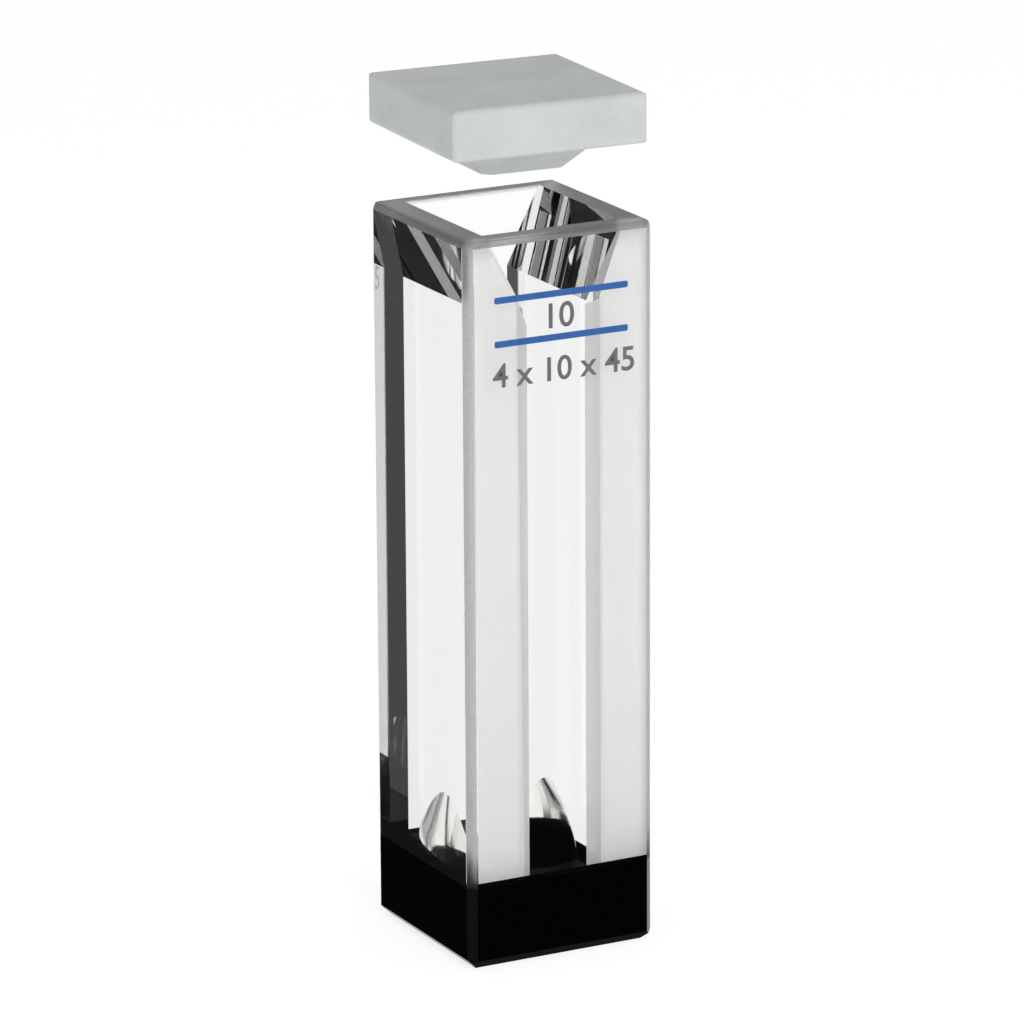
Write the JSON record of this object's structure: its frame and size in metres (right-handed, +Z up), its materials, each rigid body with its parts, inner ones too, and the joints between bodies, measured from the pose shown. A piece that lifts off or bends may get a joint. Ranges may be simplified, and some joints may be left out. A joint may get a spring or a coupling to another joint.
{
  "type": "stirring cuvette with drop-in lid",
  "caption": "Clear square cell with a narrow chamber, a V-shaped filling funnel, a black foot holding a round stirring recess, and a loose square drop-in lid.",
  "frame": {"origin": "middle of the foot, on the surface the cell stands on", "axes": "+Z up along the cell; the polished windows face -Y (front) and +Y (rear), and the side walls are on -X and +X"},
  "size_m": [0.0132, 0.0131, 0.0529],
  "materials": {
    "window_glass": "polished clear fused quartz",
    "wall_glass": "clear fused quartz with milky joints",
    "black_glass": "polished black quartz",
    "white_plastic": "satin white fluoropolymer"
  },
  "bodies": {
    "root": {"front_window": "window_glass", "rear_window": "window_glass", "left_wall": "wall_glass", "right_wall": "wall_glass", "base_block": "black_glass", "lid": "white_plastic"}
  },
  "joints": []
}
